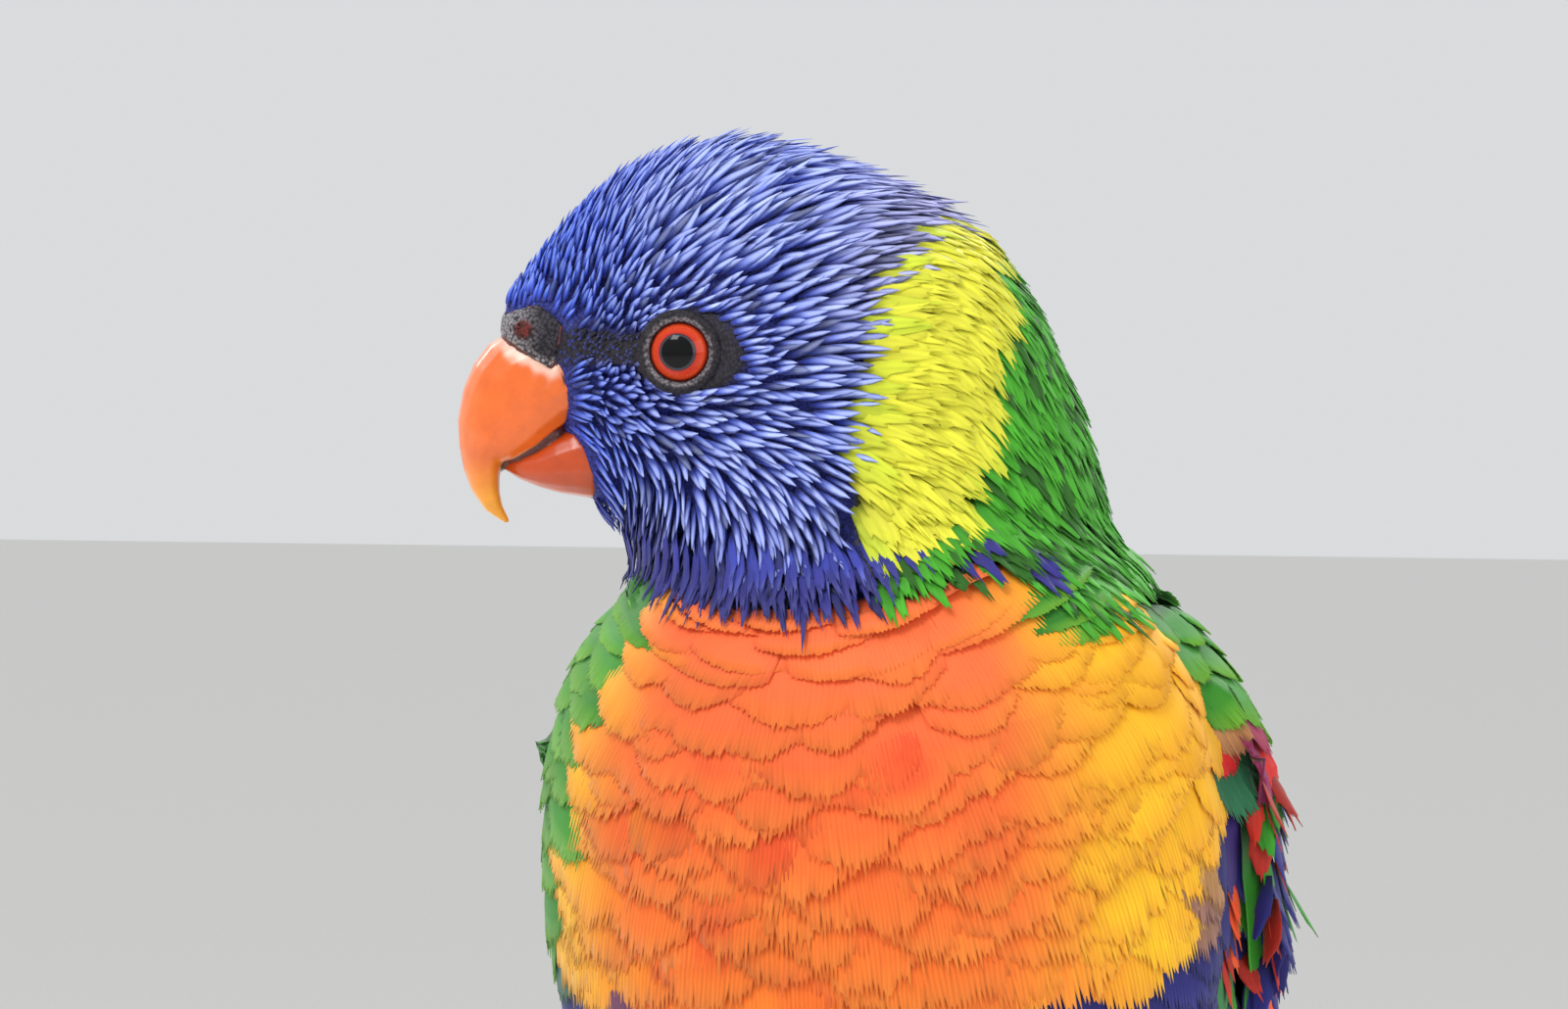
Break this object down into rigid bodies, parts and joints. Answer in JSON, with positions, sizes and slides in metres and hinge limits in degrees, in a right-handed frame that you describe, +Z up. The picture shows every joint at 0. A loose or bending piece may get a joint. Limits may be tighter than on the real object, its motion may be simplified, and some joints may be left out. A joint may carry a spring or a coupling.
{
  "type": "perched rainbow lorikeet on a display stand",
  "caption": "Life-size rainbow lorikeet, upright with its head turned to one side, gripping a short cut branch on a rod and a round base.",
  "frame": {"origin": "centre of the world axes on the underside of the base, below the bird's upright axis", "axes": "+Z up, the body faces -Y, the bird's left is +X, the perch runs along X"},
  "size_m": [0.124, 0.1252, 0.2978],
  "materials": {
    "hood_plumage": "soft blue feathers",
    "collar_plumage": "soft yellow-green feathers",
    "breast_plumage": "soft orange-red feathers",
    "green_plumage": "smooth green feathers",
    "bill_horn": "glossy orange-red horn",
    "bare_skin": "powdery grey skin",
    "eye": "wet gloss",
    "foot_skin": "scaly grey skin",
    "claw_horn": "dark polished horn",
    "branch_wood": "rough bark with clean cut ends",
    "base_wood": "satin varnish",
    "rod_brass": "brushed"
  },
  "bodies": {
    "root": {"head": "hood_plumage", "neck": "collar_plumage", "torso": "breast_plumage", "cere": "bare_skin", "bill_upper": "bill_horn", "bill_lower": "bill_horn", "tail": "green_plumage", "perch": "branch_wood", "stand_base": "base_wood", "stand_rod": "rod_brass", "eye_right": "eye", "wing_right": "green_plumage", "thigh_right": "green_plumage", "foot_right": "foot_skin", "claw_right_inner_front": "claw_horn", "claw_right_outer_front": "claw_horn", "claw_right_outer_back": "claw_horn", "claw_right_inner_back": "claw_horn", "eye_left": "eye", "wing_left": "green_plumage", "thigh_left": "green_plumage", "foot_left": "foot_skin", "claw_left_inner_front": "claw_horn", "claw_left_outer_front": "claw_horn", "claw_left_outer_back": "claw_horn", "claw_left_inner_back": "claw_horn"}
  },
  "joints": []
}
